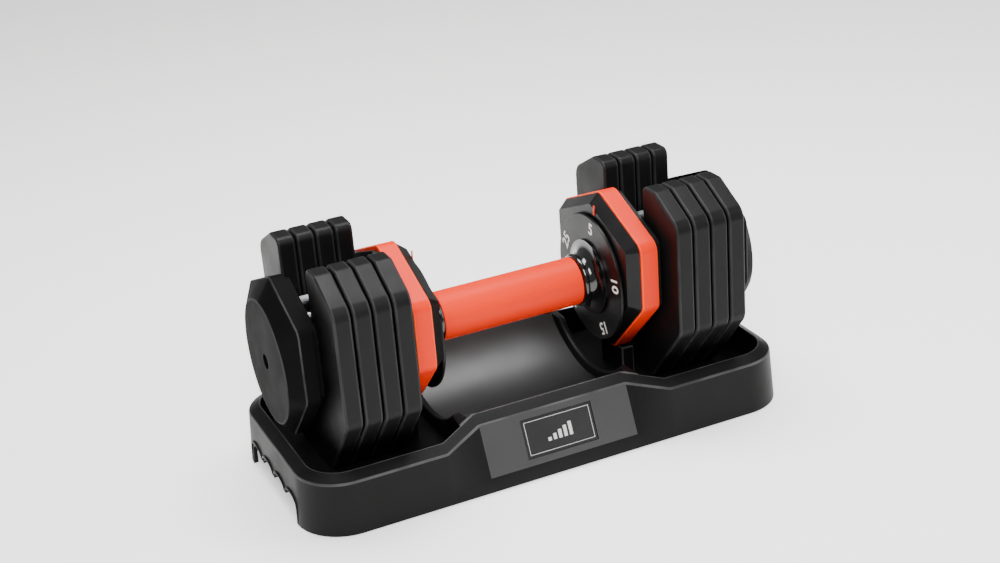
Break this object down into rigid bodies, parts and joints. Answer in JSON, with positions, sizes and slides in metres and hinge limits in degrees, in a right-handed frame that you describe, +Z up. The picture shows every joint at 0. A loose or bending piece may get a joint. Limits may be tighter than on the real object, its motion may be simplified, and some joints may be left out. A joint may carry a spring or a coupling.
{
  "type": "adjustable dumbbell",
  "caption": "Twist-grip adjustable dumbbell in its storage tray: hexagonal housings, slotted plates that stay in the tray or lift with the handle.",
  "frame": {"origin": "middle of the tray's footprint, on the surface it stands on", "axes": "+X along the grip, towards the right-hand plates; -Y towards the tray's front with the label; +Z up"},
  "size_m": [0.36, 0.16, 0.167],
  "materials": {
    "black_plastic": "satin black ABS, moulded",
    "plate_coating": "satin black nylon shell over cast iron",
    "gloss_black": "gloss black ABS",
    "orange_plastic": "satin orange ABS",
    "orange_grip": "satin orange TPE sleeve",
    "steel": "zinc plated steel",
    "selector_nylon": "dark grey nylon",
    "tray_plastic": "matte black moulded plastic",
    "foot_rubber": "matte rubber",
    "label_plate": "semi-gloss dark plate"
  },
  "bodies": {
    "tray": {"tray_shell": "tray_plastic", "label_plate": "label_plate", "tray_foot_1": "foot_rubber", "tray_foot_2": "foot_rubber", "tray_foot_3": "foot_rubber", "tray_foot_4": "foot_rubber"},
    "plate_pair_4": {"plate_left_4": "plate_coating", "plate_right_4": "plate_coating"},
    "plate_pair_3": {"plate_left_3": "plate_coating", "plate_right_3": "plate_coating"},
    "plate_pair_2": {"plate_left_2": "plate_coating", "plate_right_2": "plate_coating"},
    "plate_pair_1": {"plate_left_1": "plate_coating", "plate_right_1": "plate_coating"},
    "cage": {"housing_left": "black_plastic", "band_left": "orange_plastic", "back_cover_left": "black_plastic", "end_cap_left": "black_plastic", "pointer_left": "orange_plastic", "housing_bush_left": "selector_nylon", "cap_bush_left": "selector_nylon", "tie_bolt_left_front": "steel", "tie_bolt_left_rear": "steel", "lock_spring_left": "steel", "housing_right": "black_plastic", "band_right": "orange_plastic", "back_cover_right": "black_plastic", "end_cap_right": "black_plastic", "pointer_right": "orange_plastic", "housing_bush_right": "selector_nylon", "cap_bush_right": "selector_nylon", "tie_bolt_right_front": "steel", "tie_bolt_right_rear": "steel", "lock_spring_right": "steel"},
    "rotor": {"grip_sleeve": "orange_grip", "handle_tube": "steel", "through_shaft": "steel", "neck_left": "gloss_black", "dial_left": "black_plastic", "index_ring_left": "steel", "end_screw_left": "steel", "end_washer_left": "steel", "selector_left_1": "selector_nylon", "selector_left_2": "selector_nylon", "selector_left_3": "selector_nylon", "selector_left_4": "selector_nylon", "neck_right": "gloss_black", "dial_right": "black_plastic", "index_ring_right": "steel", "end_screw_right": "steel", "end_washer_right": "steel", "selector_right_1": "selector_nylon", "selector_right_2": "selector_nylon", "selector_right_3": "selector_nylon", "selector_right_4": "selector_nylon"},
    "pin_left": {"lock_pin_left": "steel"},
    "pin_right": {"lock_pin_right": "steel"}
  },
  "joints": [
    {"name": "lift_at_25", "type": "slide", "parent": "tray", "child": "plate_pair_4", "axis": [0, 0, 1], "range_m": [0, 0.15]},
    {"name": "lift_at_20", "type": "slide", "parent": "plate_pair_4", "child": "plate_pair_3", "axis": [0, 0, 1], "range_m": [0, 0.15]},
    {"name": "lift_at_15", "type": "slide", "parent": "plate_pair_3", "child": "plate_pair_2", "axis": [0, 0, 1], "range_m": [0, 0.15]},
    {"name": "lift_at_10", "type": "slide", "parent": "plate_pair_2", "child": "plate_pair_1", "axis": [0, 0, 1], "range_m": [0, 0.15]},
    {"name": "lift_at_5", "type": "slide", "parent": "plate_pair_1", "child": "cage", "axis": [0, 0, 1], "range_m": [0, 0.15]},
    {"name": "grip_twist", "type": "hinge", "parent": "cage", "child": "rotor", "pos_m": [0, 0, 0.097], "axis": [-1, 0, 0], "range_deg": [0, 288]},
    {"name": "lock_left", "type": "slide", "parent": "cage", "child": "pin_left", "axis": [0, 0, -1], "range_m": [0, 0.003], "deforming": ["lock_spring_left"]},
    {"name": "lock_right", "type": "slide", "parent": "cage", "child": "pin_right", "axis": [0, 0, -1], "range_m": [0, 0.003], "deforming": ["lock_spring_right"]}
  ],
  "couplings": [
    {"joint": "lock_left", "follows": "lift_at_5", "ratio": 0.02},
    {"joint": "lock_right", "follows": "lift_at_5", "ratio": 0.02}
  ]
}
